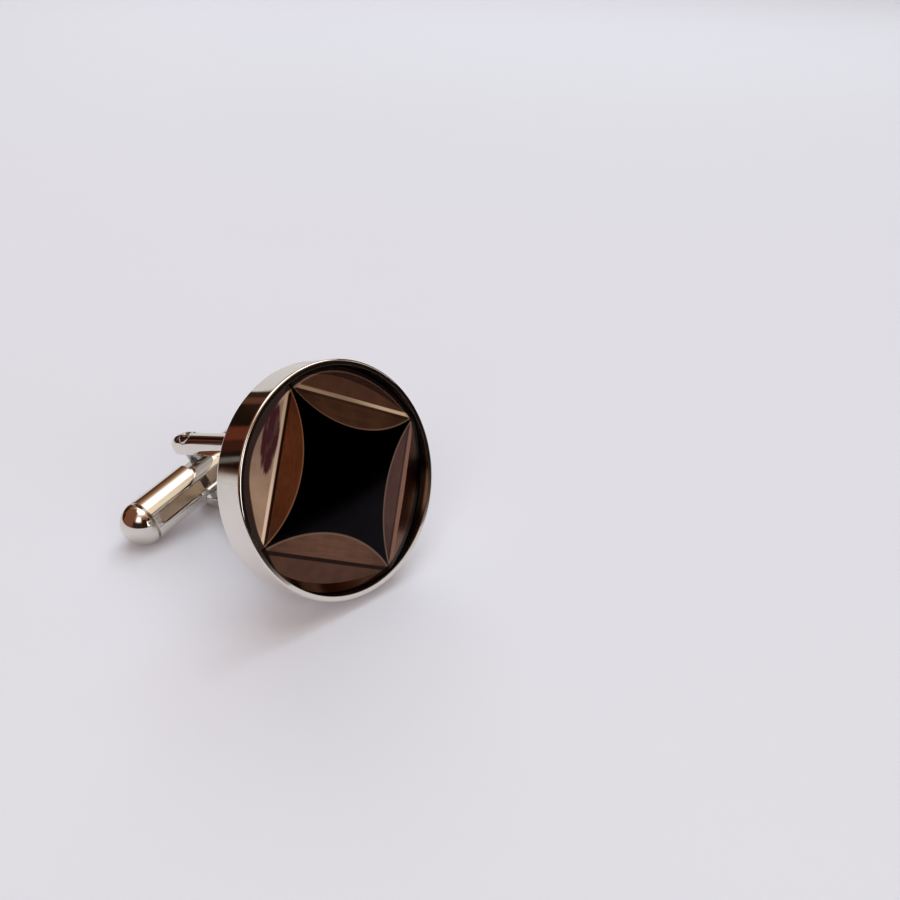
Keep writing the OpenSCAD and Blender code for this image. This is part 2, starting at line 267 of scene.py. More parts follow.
class Wire:
    """An output of a node. A sum or product of wires adds the Math nodes that work it out."""

    def __init__(self, tree, socket=None):
        self.tree = tree
        self.socket = socket

    def node(self, kind, settings=None, inputs=None, output=0):
        """Adds a node. Its settings are set first, then its sockets get their values or wires."""
        made = self.tree.nodes.new(kind)
        for name, value in (settings or {}).items():
            if name == "stops":
                set_stops(made.color_ramp, value)
            else:
                setattr(made, name, value)
        for name, value in (inputs or {}).items():
            if isinstance(value, Wire):
                self.tree.links.new(value.socket, made.inputs[name])
            else:
                made.inputs[name].default_value = value
        return Wire(self.tree, made.outputs[output]) if made.outputs else None

    def maths(self, operation, *values):
        """A Math node with these values, in order."""
        return self.node("ShaderNodeMath", {"operation": operation}, dict(enumerate(values)))

    def __add__(self, other):
        return self.maths("ADD", self, other)

    __radd__ = __add__

    def __sub__(self, other):
        return self.maths("SUBTRACT", self, other)

    def __rsub__(self, other):
        return self.maths("SUBTRACT", other, self)

    def __mul__(self, other):
        return self.maths("MULTIPLY", self, other)

    __rmul__ = __mul__

    def __truediv__(self, other):
        return self.maths("DIVIDE", self, other)

    def __rtruediv__(self, other):
        return self.maths("DIVIDE", other, self)

    def __pow__(self, other):
        return self.maths("POWER", self, other)

    def __rpow__(self, other):
        return self.maths("POWER", other, self)

    def __abs__(self):
        return self.maths("ABSOLUTE", self)

    def parts(self):
        """The three numbers of a vector."""
        split = self.node("ShaderNodeSeparateXYZ", None, {"Vector": self})
        return [Wire(self.tree, output) for output in split.socket.node.outputs]

    def along(self, axis):
        """How far a vector reaches along an axis."""
        return self.node("ShaderNodeVectorMath", {"operation": "DOT_PRODUCT"},
                         {0: self, 1: axis}, output="Value")

    def smooth(self, low, high):
        """Nought below low, one above high and a smooth rise between them."""
        return self.node("ShaderNodeMapRange", {"interpolation_type": "SMOOTHSTEP"},
                         {"Value": self, "From Min": low, "From Max": high})

    def within(self, reach, fade):
        """One around nought, with a smooth fall that ends where the wire is a reach away from it."""
        return (reach - abs(self)).smooth(0.0, fade)

    def mixed(self, first, second):
        """A colour that goes from the first to the second as this wire goes from nought to one."""
        return self.node("ShaderNodeMix", {"data_type": "RGBA"},
                         {0: self, 6: opaque(first), 7: opaque(second)}, output=2)


def opaque(colour):
    """A colour with its alpha, or the wire that brings one."""
    return colour if isinstance(colour, Wire) else (*colour[:3], 1.0)


def set_stops(ramp, stops):
    """Gives a ramp its stops, each a place and a colour."""
    while len(ramp.elements) > 1:
        ramp.elements.remove(ramp.elements[-1])
    for number, (place, colour) in enumerate(stops):
        stop = ramp.elements[0] if number == 0 else ramp.elements.new(place)
        stop.position = place
        stop.color = opaque(colour)


def new_finish(name):
    """An empty material and the wire that its nodes start from."""
    material = bpy.data.materials.new(name)
    material.use_nodes = True
    material.node_tree.nodes.clear()
    return material, Wire(material.node_tree)


# How a noise is stretched along X, Y and Z: evenly, or squeezed along Y into fine lines

EVEN = (1.0, 1.0, 1.0)
HAIRLINES = (1.0, 0.07, 1.0)

MICRON = 0.001 * MM
DIAGONAL = math.sqrt(0.5)


def own_place(start, unit=1.0, stretch=EVEN):
    """The place on a piece in the cufflink's own axes, counted in a unit given in millimetres."""
    place = start.node("ShaderNodeTexCoord", output="Object")
    return start.node("ShaderNodeMapping", {"vector_type": "TEXTURE"}, {
        "Vector": place, "Location": STANCE.translation, "Rotation": STANCE.to_euler(),
        "Scale": [unit * MM * s for s in stretch]})


def noise(start, place, detail, rough):
    """A noise with features about one wide, read at a place."""
    return start.node("ShaderNodeTexNoise", None, {
        "Vector": place, "Scale": 1.0, "Detail": detail, "Roughness": rough})


def speckle(start, size, detail=2.0, rough=0.5, stretch=EVEN):
    """A noise with features of a given size in millimetres, in the cufflink's own axes."""
    return noise(start, own_place(start, size, stretch), detail, rough)


def bumped(start, height, depth, strength=1.0, below=None):
    """A surface that a height raises by up to a depth in microns, over the bumps below it."""
    inputs = {"Height": height, "Distance": depth * MICRON, "Strength": strength}
    if below:
        inputs["Normal"] = below
    return start.node("ShaderNodeBump", None, inputs)


def tone_of(name):
    """One of the colours of the finishes."""
    return tuple(getattr(settings_of("cuff_finish"), name))


def scaled(colour, factor):
    """A colour made darker or brighter by a factor."""
    return tuple(factor * c for c in colour)


def coated(start, settings):
    """Ends a finish with its shader and its output."""
    shader = start.node("ShaderNodeBsdfPrincipled", None, settings)
    start.node("ShaderNodeOutputMaterial", None, {"Surface": shader})


def recess_shade(start, inner):
    """Where painted shade darkens the wall inside the lip, and the colour of that shade, painted lighter low down.

    The same mask also roughens it: the wall itself keeps half its shine, and the edge between it and the lip keeps
    none.
    """
    edge_width, edge_fade = 0.046, 0.016
    edge_start, edge_rise = 0.001, 0.006
    back_margin, back_fade = 0.2, 0.1
    lighter_from, lighter_to, lighter = 2.0, 7.0, 2.6
    x, y, z = own_place(start).parts()
    out = (x * x + z * z) ** 0.5 - inner
    inside = (edge_width - out).smooth(0.0, edge_fade) * (-back_margin - y).smooth(0.0, back_fade)
    shade_and_dull_share = 0.5 + (out - edge_start).smooth(0.0, edge_rise) * 0.5
    colour = tone_of("recess")
    # Painted light: the shade on the wall is lighter low down
    low_down = (-1.0 * z).smooth(lighter_from, lighter_to)
    return inside * shade_and_dull_share, low_down.mixed(colour, scaled(colour, lighter))


def metal(name, tone, rough, smudge, wave=0.25, grain=0.0, grain_size=0.06, stain=0.06, inner=None):
    """Metal with smudges in its gloss, a slight unevenness from polishing and a fine grain.

    The wave and the grain are heights in microns, and the size of the grain is in millimetres.
    Within an inner radius the metal gets painted shade and is roughened.
    """
    hair_gloss, fine_gloss, dull_gloss = 0.6, 0.3, 0.32
    smudge_stain, fine_stain = 0.7, 0.3
    material, start = new_finish(name)
    colour = tone_of(tone)
    smudges = speckle(start, 2.1, detail=4.0, rough=0.6).smooth(0.42, 0.68)
    fine = speckle(start, 0.35, detail=3.0, rough=0.6)
    hairs = speckle(start, 0.06, stretch=HAIRLINES).smooth(0.60, 0.74)
    gloss = rough + smudges * smudge + hairs * (hair_gloss * smudge) + fine * (fine_gloss * smudge)
    shade = (smudges * smudge_stain + fine * fine_stain).mixed(colour, scaled(colour, 1.0 - stain))
    if inner:
        # Painted shade on the wall inside the lip, which is also roughened
        shade_and_dull, recess = recess_shade(start, inner)
        shade = shade_and_dull.mixed(shade, recess)
        gloss = gloss + shade_and_dull * dull_gloss
    bump = bumped(start, speckle(start, 1.4, detail=1.0, rough=0.4), wave)
    if grain:
        bump = bumped(start, speckle(start, grain_size), grain, below=bump)
    coated(start, {"Base Color": shade, "Metallic": 1.0, "Roughness": gloss, "Normal": bump})
    return material


def plating(name, inner=None):
    """Bright plating, with painted shade on a roughened wall within an inner radius about the cup's axis."""
    return metal(name, "plating", rough=0.03, smudge=0.05, inner=inner)


class Lens(NamedTuple):
    """One of the four pairs of facets, whose colours are painted reflections of different parts of the room."""
    way_x: float
    way_z: float
    crease_width: float
    line: float
    more_rim: float
    inner: tuple
    crease: tuple
    outer: tuple


# The pairs of facets at the left, top, right and bottom of the face: which way they lie along X
# and Z, the width of their crease in millimetres, the strength of the painted dark line inside it,
# how much wider the stone's dark rim, partly painted shade, is there in millimetres, and the
# painted reflections on the inner facet, the crease and the outer facet

LENSES = (
    Lens(-DIAGONAL, DIAGONAL, 0.20, 1.0, 0.42,
         (0.095, 0.034, 0.017), (0.21, 0.15, 0.11), (0.105, 0.064, 0.041)),
    Lens(DIAGONAL, DIAGONAL, 0.26, 0.4, -0.08,
         (0.066, 0.028, 0.015), (0.32, 0.235, 0.165), (0.078, 0.032, 0.018)),
    Lens(DIAGONAL, -DIAGONAL, 0.50, 0.5, 0.05,
         (0.095, 0.042, 0.032), (0.23, 0.105, 0.062), (0.150, 0.070, 0.045)),
    Lens(-DIAGONAL, -DIAGONAL, 0.28, 0.0, -0.30,
         (0.165, 0.078, 0.048), (0.020, 0.011, 0.008), (0.11, 0.052, 0.034)),
)

# The middle and the half size of the painted dark streak of reflection in the left lens, in
# millimetres: outwards from the crease and upwards along it

STREAK_REFLECTION_MIDDLE = (0.58, 1.85)
STREAK_REFLECTION_REACH = (0.55, 2.6)


def softened(a, b, depth):
    """The lower of two heights, with the edge between them polished round."""
    near = max(depth - abs(a - b), 0.0) / depth
    return min(a, b) - near * near * depth / 4


class Cut:
    """The shape of the cut stone's face, in millimetres."""

    def __init__(self):
        stone, group = Millimetres("cuff_stone"), settings_of("cuff_stone")
        self.radius, self.dome = stone.diameter / 2, stone.dome
        self.top, self.polish = stone.star_height, stone.polish
        self.base_of_dome = math.sqrt(self.dome ** 2 - self.radius ** 2)
        self.crease_r = self.radius * DIAGONAL
        self.arc_r = group.arc_share * self.radius
        rise = math.sqrt(self.dome ** 2 - self.arc_r ** 2) - self.base_of_dome
        self.inner_slope = rise / (self.crease_r - self.arc_r)
        self.outer_slope = math.tan(group.outer_angle)
        inner_angle = math.atan(self.inner_slope)
        mean = (inner_angle + group.outer_angle) / 2
        sink = stone.crease / 2 * math.tan((group.outer_angle - inner_angle) / 2)
        self.crease_slope, self.crease_drop = math.tan(mean), sink / math.cos(mean)

    def height(self, x, z):
        """Height of the stone's face above the cup's back."""
        dome = self.top - self.base_of_dome + math.sqrt(self.dome ** 2 - x * x - z * z)
        out = max(abs(x + z), abs(x - z)) / math.sqrt(2) - self.crease_r
        inner = self.top - out * self.inner_slope
        crease = self.top - self.crease_drop - out * self.crease_slope
        outer = self.top - out * self.outer_slope
        facets = softened(softened(inner, crease, self.polish), outer, self.polish)
        return softened(dome, facets, 2 * self.polish)

    def normal(self, x, z, reach=0.002):
        """Which way the face looks, from its heights within a short reach."""
        slope_x = (self.height(x + reach, z) - self.height(x - reach, z)) / (2 * reach)
        slope_z = (self.height(x, z + reach) - self.height(x, z - reach)) / (2 * reach)
        return Vector((-slope_x, -slope_z, 1.0)).normalized()


def facet_tones(start, x, z, out):
    """Painted reflections on the four pairs of facets and their creases, with streaks along them."""
    streaks_across, streaks_along = 5.0, 0.5
    streak_share, cloud_share, end_share, outer_share = 0.28, 0.20, 0.55, 0.42
    inner_low, line_low, outer_low = 0.40, 0.08, 0.55
    crease_blur, pair_blur = 0.04, 0.02
    across = start.maths("MINIMUM", abs(x + z), abs(x - z)) * DIAGONAL
    drawn = start.node("ShaderNodeCombineXYZ", None,
                       {0: out * streaks_across, 1: across * streaks_along, 2: x + z})
    streaks = noise(start, drawn, detail=2.0, rough=0.45).smooth(0.34, 0.68)
    cloud = speckle(start, 1.1, detail=3.0, rough=0.55).smooth(0.35, 0.68)
    inner_depth = streaks * streak_share + cloud * cloud_share + across.smooth(2.0, 5.2) * end_share
    outer_depth = cloud * outer_share
    blur, line_middle, line_reach, line_fade = 0.03, 0.12, 0.13, 0.07
    shade = None
    for lens in LENSES:
        half = lens.crease_width / 2
        # Painted reflections: the inner and outer facet's tones, darker towards the crease's ends, a painted dark
        # line beside the crease and the crease's painted reflection
        inner = inner_depth.mixed(lens.inner, scaled(lens.inner, inner_low))
        on_line = (out + (half + line_middle)).within(line_reach, line_fade) * lens.line
        inner = on_line.mixed(inner, scaled(lens.inner, line_low))
        outer = outer_depth.mixed(lens.outer, scaled(lens.outer, outer_low))
        tone = out.smooth(-crease_blur, crease_blur).mixed(inner, outer)
        tone = out.within(half + blur, 2 * blur).mixed(tone, lens.crease)
        beside = abs(x * lens.way_z - z * lens.way_x)
        here = (x * lens.way_x + z * lens.way_z - beside).smooth(-pair_blur, pair_blur)
        shade = here.mixed(shade, tone) if shade else tone
    return shade


def left_lens_reflections(start, x, z, out, shade):
    """Paints a darker reflection on the upper half of the left lens's outer facet and a dark streak of reflection
    over it.
    """
    pair_blur, crease_blur = 0.05, 0.04
    dusk, dusk_from, dusk_to, dusk_margin, dusk_fade = 0.7, -2.5, 1.5, 0.10, 0.15
    strands_across, strands_along = 3.2, 0.55
    streak_edge, streak_fray, streak_fade, streak_depth, strand_depth = 0.88, 0.24, 0.42, 0.82, 0.30
    on_left = (z - x - abs(x + z)).smooth(0.0, pair_blur) * out.smooth(-crease_blur, crease_blur)
    upwards = (x + z) * DIAGONAL
    # Painted reflection: the upper half of the left lens's outer facet is darker
    dusky = upwards.smooth(dusk_from, dusk_to) * dusk * on_left
    dusky = dusky * (out - dusk_margin).smooth(0.0, dusk_fade)
    shade = dusky.mixed(shade, tone_of("dim_reflection"))
    aside = (out - STREAK_REFLECTION_MIDDLE[0]) / STREAK_REFLECTION_REACH[0]
    lengthwise = (upwards - STREAK_REFLECTION_MIDDLE[1]) / STREAK_REFLECTION_REACH[1]
    blot = aside * aside + lengthwise * lengthwise
    drawn = start.node("ShaderNodeCombineXYZ", None,
                       {0: out * strands_across, 1: upwards * strands_along})
    strands = noise(start, drawn, detail=3.0, rough=0.5).smooth(0.32, 0.60)
    # Painted reflection: a dark streak in the left lens's outer facet
    on_streak_reflection = (streak_edge - blot + strands * streak_fray).smooth(0.0, streak_fade)
    on_streak_reflection = on_streak_reflection * (streak_depth + strands * strand_depth) * on_left
    return on_streak_reflection.mixed(shade, tone_of("streak_reflection"))


def edge_highlights_and_rim(cut, x, z, away, on_facet, on_edge_highlight, shade):
    """Paints highlights along the star's edges and along the top lens's rim, and the dark rim, as wide as each
    lens has it, over the facets.
    """
    rim = Millimetres("cuff_stone").rim
    line_middle, line_reach, line_fade, blur = 0.08, 0.09, 0.06, 0.04
    lens_from, lens_to, top_from, top_to, edge_share = 0.71, 0.97, 0.7, 1.1, 0.75
    outwards = away - (cut.radius - rim)
    for lens in LENSES:
        towards = (x * lens.way_x + z * lens.way_z) / away
        outwards = outwards + towards.smooth(lens_from, lens_to) * lens.more_rim
    on_top = ((x + z) / away).smooth(top_from, top_to)
    on_line = (outwards + line_middle).within(line_reach, line_fade) * on_top * on_facet
    # Painted highlights along the star's edges and along the top lens's rim
    shade = ((on_edge_highlight + on_line) * edge_share).mixed(shade, tone_of("edge_highlight"))
    # Painted shade: the dark rim, widened or narrowed for each lens
    return outwards.smooth(-blur, blur).mixed(shade, tone_of("rim"))


def smoke_glass():
    """Smoke glass over a foil: the star is nearly black, and each facet carries painted reflections in a warm
    tone.
    """
    edge_width, edge_reach, ground_width, ground_fade = 0.012, 0.016, 0.07, 0.03
    material, start = new_finish("smoke_glass")
    cut = Cut()
    x, _, z = own_place(start).parts()
    out = start.maths("MAXIMUM", abs(x + z), abs(x - z)) * DIAGONAL - cut.crease_r
    from_middle = x * x + z * z
    away = from_middle ** 0.5
    above_star = (cut.dome ** 2 - from_middle) ** 0.5 - cut.base_of_dome + out * cut.inner_slope
    on_facet = above_star.smooth(0.0, edge_width)
    on_edge_highlight = (above_star - edge_width / 2).within(edge_reach, edge_width)
    facets = left_lens_reflections(start, x, z, out, facet_tones(start, x, z, out))
    shade = edge_highlights_and_rim(cut, x, z, away, on_facet, on_edge_highlight, on_facet.mixed(tone_of("star"), facets))
    ground = (away - (cut.radius - ground_width)).smooth(0.0, ground_fade)
    dust = speckle(start, 0.12, detail=1.0).smooth(0.70, 0.78)
    film = speckle(start, 1.6, detail=4.0, rough=0.6).smooth(0.45, 0.75)
    coated(start, {"Base Color": shade, "Metallic": 1.0,
                   "Normal": bumped(start, speckle(start, 3.0, detail=1.0, rough=0.4), depth=0.2),
                   "Roughness": 0.02 + film * 0.03 + dust * 0.08 + ground * 0.5,
                   "Coat Weight": 0.03 + film * 0.04, "Coat Roughness": 0.02, "Coat IOR": 1.5})
    return material


def adhesive():
    """Clear adhesive, slightly cloudy, with small bubbles."""
    material, start = new_finish("clear_adhesive")
    colour = tone_of("adhesive")
    cloud = speckle(start, 1.2, detail=3.0).smooth(0.35, 0.7)
    bubbles = speckle(start, 0.15, detail=1.0).smooth(0.66, 0.72)
    coated(start, {"Base Color": cloud.mixed(colour, scaled(colour, 0.85)),
                   "Roughness": 0.3 + bubbles * 0.2, "IOR": 1.48,
                   "Normal": bumped(start, bubbles, depth=10.0, strength=0.6)})
    return material


# Making of meshes, in millimetres

def arc(centre, radius, start, end, steps):
    """Points along an arc, both ends included, from one angle to another in degrees."""
    angles = [math.radians(start + (end - start) * i / steps) for i in range(steps + 1)]
    return [(centre[0] + radius * math.cos(a), centre[1] + radius * math.sin(a)) for a in angles]


def ring(radius, count):
    """Points spaced evenly round a circle."""
    angles = [2.0 * math.pi * i / count for i in range(count)]
    return [(radius * math.cos(a), radius * math.sin(a)) for a in angles]


def mirrored(outline):
    """An outline carried on by its own mirror image across X nought."""
    return outline + [(-x, y) for x, y in reversed(outline)]


def solid(name, points, faces, turn=Matrix.Identity(4)):
    """An object from points and faces, turned into place, with its faces facing outwards."""
    mesh = bpy.data.meshes.new(name)
    mesh.from_pydata([turn @ Vector(p) for p in points], [], faces)
    made = bmesh.new()
    made.from_mesh(mesh)
    bmesh.ops.recalc_face_normals(made, faces=made.faces)
    made.to_mesh(mesh)
    made.free()
    obj = bpy.data.objects.new(name, mesh)
    bpy.context.scene.collection.objects.link(obj)
    return obj


ON_AXIS = 1e-9


def lathe(name, section, turn=Matrix.Identity(4), segments=192):
    """A solid of revolution. The section runs round as (radius, height) points and its axis is Z."""
    points, rings, faces = [], [], []
    for radius, height in section:
        around = [(0.0, 0.0)] if radius < ON_AXIS else ring(radius, segments)
        rings.append(range(len(points), len(points) + len(around)))
        points += [(x, y, height) for x, y in around]
    for here, there in zip(rings, rings[1:] + rings[:1]):
        if len(here) == 1 and len(there) == 1:
            continue
        for i in range(segments):
            j = (i + 1) % segments
            if len(here) == 1:
                faces.append((here[0], there[j], there[i]))
            elif len(there) == 1:
                faces.append((here[i], here[j], there[0]))
            else:
                faces.append((here[i], here[j], there[j], there[i]))
    return solid(name, points, faces, turn)


def rod(name, radius, start, end, turn=Matrix.Identity(4), segments=96):
    """A plain rod or disc along Z."""
    return lathe(name, [(0.0, start), (radius, start), (radius, end), (0.0, end)], turn, segments)


def loft(name, sections, turn=Matrix.Identity(4)):
    """A solid through sections, which all have as many points, closed by a face at each end."""
    count = len(sections[0])
    points = [p for section in sections for p in section]
    faces = [tuple(range(count)), tuple(range(len(points) - count, len(points)))]
    for k in range(len(sections) - 1):
        for i in range(count):
            j = (i + 1) % count
            faces.append((k * count + i, k * count + j, (k + 1) * count + j, (k + 1) * count + i))
    return solid(name, points, faces, turn)


def prism(name, outline, low, high, turn=Matrix.Identity(4)):
    """An outline drawn in X and Y and extruded along Z."""
    return loft(name, [[(x, y, z) for x, y in outline] for z in (low, high)], turn)


def block(name, low, high, turn=Matrix.Identity(4)):
    """A cutting block between two corners."""
    outline = [(low[0], low[1]), (high[0], low[1]), (high[0], high[1]), (low[0], high[1])]
    return prism(name, outline, low[2], high[2], turn)


def settle(obj):
    """Makes what an object's modifiers do a part of its mesh."""
    graph = bpy.context.evaluated_depsgraph_get()
    mesh = bpy.data.meshes.new_from_object(obj.evaluated_get(graph), depsgraph=graph)
    old = obj.data
    obj.modifiers.clear()
    obj.data = mesh
    bpy.data.meshes.remove(old)


def joined(obj, other, operation="DIFFERENCE"):
    """Cuts a second object out of an object, joins them or keeps what they share, and removes it."""
    step = obj.modifiers.new("step", "BOOLEAN")
    step.operation = operation
    step.solver = "EXACT"
    step.object = other
    settle(obj)
    bpy.data.objects.remove(other)


def rounded(obj, edge, steps=3, angle=32.0):
    """Rounds every edge that is sharper than the angle."""
    step = obj.modifiers.new("round", "BEVEL")
    step.width = edge
    step.segments = steps
    step.limit_method = "ANGLE"
    step.angle_limit = math.radians(angle)
    step.use_clamp_overlap = False
    settle(obj)


def cleaned(obj, hair=0.0004):
    """Joins points that lie within a hair of each other and takes away faces without area."""
    made = bmesh.new()
    made.from_mesh(obj.data)
    bmesh.ops.remove_doubles(made, verts=made.verts, dist=hair)
    bmesh.ops.dissolve_degenerate(made, dist=hair, edges=made.edges)
    made.to_mesh(obj.data)
    made.free()


def finished(obj, body, slot, material, *nodes):
    """Shades a piece smoothly, brings it to its place at its real size and lets it ride."""
    cleaned(obj)
    obj.data.shade_smooth()
    even = obj.modifiers.new("even", "WEIGHTED_NORMAL")
    even.mode = "FACE_AREA"
    even.weight = 50
    settle(obj)
    placed(obj, body, slot, material, *nodes)


def placed(obj, body, slot, material, *nodes):
    """Brings a piece to its place at its real size and lets it ride on its body."""
    obj.data.transform(STANCE @ Matrix.Scale(MM, 4))
    obj.data.materials.clear()
    obj.data.materials.append(material)
    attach(obj, body)
    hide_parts(*nodes)


# The surroundings by elevation in degrees, and patches in them: azimuths from +Y towards +X,
# elevations, softness of the edge, all in degrees, and the colour of the light

ROOM = (
    (-90.0, (0.70, 0.69, 0.72)),
    (-7.0, (0.66, 0.64, 0.65)),
    (-4.6, (0.52, 0.49, 0.49)),
    (-3.0, (0.12, 0.095, 0.085)),
    (-0.5, (0.030, 0.021, 0.018)),
    (14.0, (0.030, 0.016, 0.010)),
    (22.0, (0.060, 0.022, 0.010)),
    (38.0, (0.21, 0.095, 0.050)),
    (50.0, (0.32, 0.17, 0.105)),
    (59.0, (0.62, 0.45, 0.33)),
    (67.0, (1.30, 1.20, 1.10)),
    (72.0, (1.82, 1.93, 2.05)),
    (90.0, (1.72, 1.87, 2.05)),
)
PATCHES = (
    (264.0, 342.0, -2.0, 70.0, 10.0, (0.19, 0.075, 0.043)),
    (325.0, 364.0, -2.0, 17.0, 4.0, (0.012, 0.006, 0.004)),
    (341.5, 348.5, -2.0, 20.0, 2.0, (0.12, 0.030, 0.015)),
    (337.0, 341.5, -2.0, 20.0, 2.0, (0.045, 0.014, 0.008)),
    (333.4, 335.0, 0.0, 8.0, 1.0, (0.16, 0.14, 0.13)),
    (363.0, 367.5, 8.0, 24.0, 2.0, (0.11, 0.045, 0.028)),
    (372.0, 395.0, -6.0, 15.0, 1.5, (0.70, 0.68, 0.68)),
    (128.0, 165.0, -2.0, 17.0, 3.0, (0.010, 0.007, 0.006)),
    (145.0, 175.0, 42.0, 76.0, 8.0, (1.05, 0.88, 0.68)),
    (222.0, 250.0, 30.0, 54.0, 16.0, (1.90, 1.88, 1.85)),
    (190.0, 214.0, -2.0, 40.0, 5.0, (0.030, 0.012, 0.006)),
    (163.0, 171.0, 6.0, 28.0, 3.0, (0.85, 0.60, 0.42)),
    (171.0, 176.0, 6.0, 28.0, 2.0, (1.70, 1.60, 1.45)),
    (176.0, 189.0, 4.0, 28.0, 3.0, (2.90, 2.90, 2.90)),
    (111.0, 119.0, 10.0, 28.0, 2.0, (0.70, 0.62, 0.58)),
    (119.0, 123.0, 10.0, 28.0, 1.5, (1.40, 1.30, 1.20)),
    (123.0, 132.0, 10.0, 28.0, 2.0, (0.70, 0.60, 0.52)),
)

# The lamps: the place and the width and height in metres, the power in watts, the colour, and
# whether the metal mirrors it. The two that it doesn't mirror fill the shadows on the table

LAMPS = (
    ("key", (0.50, 0.16, 0.72), 0.42, 0.42, 1.5, (0.82, 0.96, 1.0), True),
    ("fill_front", (-0.90, -1.10, 0.60), 1.6, 0.9, 12.0, (1.0, 0.82, 0.78), False),
    ("fill_back", (0.80, 0.90, 0.80), 1.2, 0.8, 5.2, (0.94, 0.95, 1.0), False),
)

# The thickness of the paper in metres and of either sheet's mesh in millimetres

PAPER = 0.02 * MM
SHEET_DEPTH = 2.0

# Ways to lay a shape down, and how far the tools that cut a piece reach past it and past the bar

TOWARDS_FACE = Matrix.Rotation(math.radians(90), 4, "X")
TOWARDS_BAR = Matrix.Rotation(math.radians(-90), 4, "X")
ALONG_TOGGLE = Matrix.Rotation(math.radians(90), 4, "Y")
SIDEWAYS = Matrix(((0, 0, 1, 0), (1, 0, 0, 0), (0, 1, 0, 0), (0, 0, 0, 1)))
AT_PIVOT = Matrix.Translation((0.0, REACH / MM, 0.0))
OVERRUN = 1.0
PAST_BAR = 3.0


class Legs:
    """Where the yoke's legs and the heads of the pin lie about the swivel axis, in millimetres."""

    def __init__(self):
        yoke, pivot = Millimetres("cuff_yoke"), Millimetres("cuff_pivot")
        self.radius, self.half_gap = yoke.leg_width / 2, yoke.gap / 2
        self.crown = self.half_gap + yoke.leg_thickness
        self.axis_z = self.crown - self.radius
        self.head_top = self.crown + pivot.head_proud
        self.seat = self.head_top - pivot.head_depth

    def outline(self, radius, steps):
        """The round backs of both legs at a radius, in X and Z."""
        upper = arc((0.0, self.axis_z), radius, 0, 180, steps)
        return upper + arc((0.0, -self.axis_z), radius, 180, 360, steps)

    def pin_section(self, pin_r, head_r, end):
        """Half of the outline of a pin whose heads reach from their seats to an end."""
        half = [(pin_r, self.seat), (head_r, self.seat), (head_r, end), (0.0, end)]
        return [(r, -h) for r, h in reversed(half)] + half


class Bar:
    """The places along and across the bar that its own pieces share, in millimetres."""

    def __init__(self):
        toggle = Millimetres("cuff_toggle")
        self.radius, self.half_slot = toggle.diameter / 2, toggle.slot / 2
        self.dome_x = toggle.length / 2 - self.radius
        self.joint_x = self.dome_x - toggle.groove
        self.slot_x = self.joint_x - toggle.slot_land - self.half_slot
        self.slot_y = self.radius - toggle.slot_depth


class CUFF_OT_cup(bpy.types.Operator):
    """Makes the round cup with its lip and the recess in its back"""
    bl_idname = "cufflink.cup"
    bl_label = "Cup"

    def execute(self, context):
        """Turns the cup on a lathe."""
        cup = Millimetres("cuff_cup")
        foot_r = Millimetres("cuff_yoke").foot / 2
        outer, inner, recess_r = cup.diameter / 2, cup.diameter / 2 - cup.lip, foot_r + cup.solder
        chamfer = cup.inner_round
        section = [(0.0, cup.floor)]
        section += arc((inner - chamfer, cup.floor + chamfer), chamfer, -90, 0, 5)
        section += arc((inner + cup.inner_round, cup.depth - cup.inner_round), cup.inner_round,
                       180, 90, 8)
        section += arc((outer - cup.lip_round, cup.depth - cup.lip_round), cup.lip_round, 90, 0, 14)
        section += arc((outer - cup.back_round, cup.back_round), cup.back_round, 0, -90, 14)
        section += arc((recess_r + chamfer, chamfer), chamfer, -90, -180, 5)
        section += [(recess_r, cup.recess), (0.0, cup.recess)]
        made = lathe("cup", section, TOWARDS_FACE, segments=512)
        finished(made, POST, "bright_plating", plating("plated_cup", inner), "bezel_cup")
        return {"FINISHED"}


class CUFF_OT_stone(bpy.types.Operator):
    """Cuts the stone: a domed four-point star between four pairs of facets"""
    bl_idname = "cufflink.stone"
    bl_label = "Stone"

    def execute(self, context):
        """Raises a net of rings and spokes to the height of the cut stone."""
        group, cut, base = settings_of("cuff_stone"), Cut(), Millimetres("cuff_stone").base
        spokes, girdle = group.spokes, 0.04
        shoulder, shoulder_lean, outwards_loss = girdle * 0.3, 0.7, 0.6
        calm_r, calm_rings = cut.arc_r * 0.94, 12
        step = (cut.radius - girdle - calm_r) / (group.rings - calm_rings)
        radii = [calm_r * (k / calm_rings) for k in range(1, calm_rings)]
        radii += [calm_r + step * k for k in range(group.rings - calm_rings + 1)]
        net = [(0.0, 0.0)] + [place for r in radii for place in ring(r, spokes)]
        points = [(x, z, cut.height(x, z)) for x, z in net]
        normals = [cut.normal(x, z) for x, z in net]
        edge = list(zip(points, normals))[-spokes:]
        for r, drop, lean in ((cut.radius - shoulder, shoulder, shoulder_lean),
                              (cut.radius, girdle, 0.0)):
            for (x, z, h), normal in edge:
                k = r / math.hypot(x, z)
                points.append((x * k, z * k, h - drop))
                outwards = Vector((x, z, 0.0)).normalized()
                outwards = outwards * (1 - lean * outwards_loss)
                normals.append((normal * lean + outwards).normalized())
        down = Vector((0.0, 0.0, -1.0))
        for r, h, way in ((cut.radius, base + girdle, None), (cut.radius - girdle, base, down)):
            for x, z in ring(1.0, spokes):
                points.append((r * x, r * z, h))
                normals.append(way or Vector((x, z, 0.0)))
        after = [(i, (i + 1) % spokes) for i in range(spokes)]
        faces = [(0, 1 + i, 1 + j) for i, j in after]
        for first in range(1, len(points) - spokes, spokes):
            second = first + spokes
            faces += [(first + i, second + i, second + j, first + j) for i, j in after]
        last = len(points) - spokes
        faces += [(len(points), last + j, last + i) for i, j in after]
        points.append((0.0, 0.0, base))
        normals.append(down)
        made = solid("cut_stone", points, faces, TOWARDS_FACE)
        made.data.shade_smooth()
        turned = [(TOWARDS_FACE.to_3x3() @ n).normalized() for n in normals]
        made.data.normals_split_custom_set_from_vertices(turned)
        placed(made, POST, "smoke_glass", smoke_glass(), "stone")
        return {"FINISHED"}


